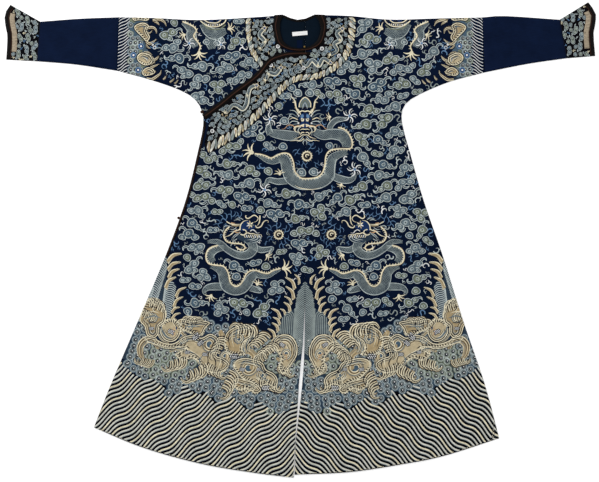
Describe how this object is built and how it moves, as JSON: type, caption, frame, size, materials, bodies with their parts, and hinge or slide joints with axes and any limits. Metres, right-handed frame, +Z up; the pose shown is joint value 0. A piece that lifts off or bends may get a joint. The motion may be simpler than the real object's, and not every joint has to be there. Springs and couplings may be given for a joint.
{
  "type": "dragon robe",
  "caption": "Chinese silk dragon robe laid flat: side-closing front overlap, bound round neck, long sleeves with plain extensions and horse-hoof cuffs, flared vented skirt.",
  "frame": {"origin": "centre of the bounding box in plan, on the surface that the robe lies on", "axes": "+X to the wearer's left along the sleeves, +Y towards the neck, +Z up out of the front"},
  "size_m": [1.792, 1.4409, 0.0162],
  "materials": {
    "navy_silk": "silk satin with couched silk embroidery",
    "midnight_silk": "plain silk satin",
    "black_silk": "silk satin with dense embroidery",
    "brown_silk": "padded silk binding with a brown piping",
    "cream_brocade": "woven brocade edging",
    "white_label": "bare woven tape",
    "brass": "dull brass"
  },
  "bodies": {
    "root": {"left_half": "navy_silk", "right_half": "navy_silk", "front_overlap": "navy_silk", "left_sleeve_extension": "midnight_silk", "right_sleeve_extension": "midnight_silk", "left_cuff": "black_silk", "right_cuff": "black_silk", "left_cuff_binding": "brown_silk", "right_cuff_binding": "brown_silk", "left_cuff_strip": "cream_brocade", "right_cuff_strip": "cream_brocade", "neck_binding_left": "brown_silk", "neck_binding_right": "brown_silk", "back_neck_binding": "brown_silk", "overlap_binding": "brown_silk", "side_binding": "black_silk", "collar_band_left": "black_silk", "collar_band_right": "black_silk", "collar_edging_left": "cream_brocade", "collar_edging_right": "cream_brocade", "arm_button": "brown_silk", "arm_loop": "brown_silk", "side_button": "brown_silk", "side_loop": "brown_silk", "neck_button": "brass", "neck_tab": "navy_silk", "neck_label": "white_label"}
  },
  "joints": []
}
